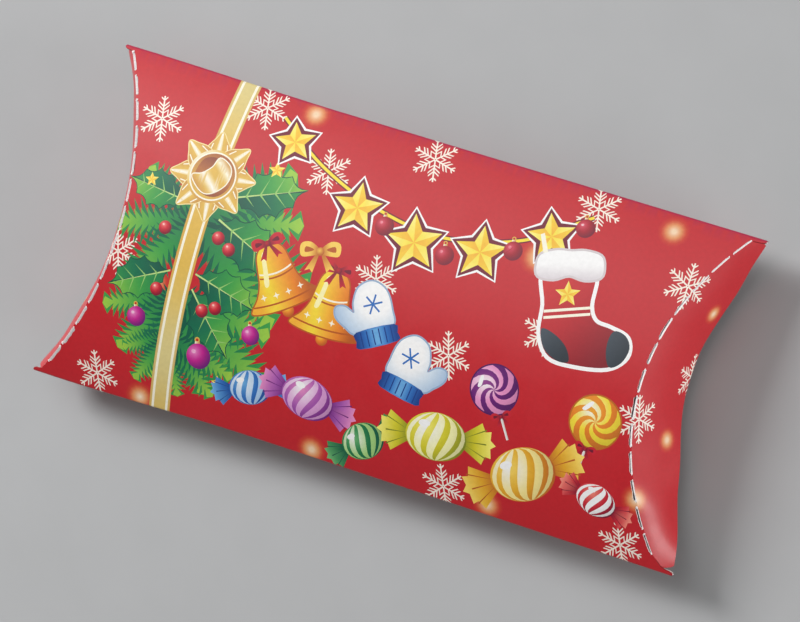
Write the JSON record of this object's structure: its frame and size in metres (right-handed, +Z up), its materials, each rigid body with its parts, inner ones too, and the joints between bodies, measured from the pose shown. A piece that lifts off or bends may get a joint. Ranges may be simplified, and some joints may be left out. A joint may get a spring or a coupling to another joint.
{
  "type": "pillow box",
  "caption": "Printed pillow-shaped gift box for sweets: bulged front and back panels, concave arched ends and curved flaps that tuck in at each end.",
  "frame": {"origin": "on the surface that the box lies on, under the middle of its box", "axes": "+X along the box towards its right end, +Y across it towards the glued side fold, +Z up out of the front panel"},
  "size_m": [0.18, 0.0864, 0.022],
  "materials": {
    "printed_board": "printed and gloss-coated outside, bare white inside and at the cut edges",
    "bare_board": "uncoated white board",
    "adhesive": "dried cold glue film"
  },
  "bodies": {
    "sleeve": {"front_panel": "printed_board", "back_panel": "printed_board", "near_side_fold": "printed_board", "far_side_fold": "printed_board", "glue_tab": "bare_board", "glue_film": "adhesive"},
    "right_outer": {"right_outer_flap": "printed_board"},
    "right_inner": {"right_inner_flap": "printed_board"},
    "left_outer": {"left_outer_flap": "printed_board"},
    "left_inner": {"left_inner_flap": "printed_board"}
  },
  "joints": [
    {"name": "right_outer_fold", "type": "hinge", "parent": "sleeve", "child": "right_outer", "pos_m": [0.0729, 0, 0.022], "axis": [0, -1, 0], "range_deg": [0, 69]},
    {"name": "right_inner_fold", "type": "hinge", "parent": "sleeve", "child": "right_inner", "pos_m": [0.0729, 0, 0], "axis": [0, 1, 0], "range_deg": [0, 63]},
    {"name": "left_outer_fold", "type": "hinge", "parent": "sleeve", "child": "left_outer", "pos_m": [-0.0729, 0, 0.022], "axis": [0, 1, 0], "range_deg": [0, 69]},
    {"name": "left_inner_fold", "type": "hinge", "parent": "sleeve", "child": "left_inner", "pos_m": [-0.0729, 0, 0], "axis": [0, -1, 0], "range_deg": [0, 63]}
  ],
  "couplings": [
    {"joint": "right_inner_fold", "follows": "right_outer_fold", "ratio": 0.9},
    {"joint": "left_inner_fold", "follows": "left_outer_fold", "ratio": 0.9}
  ]
}
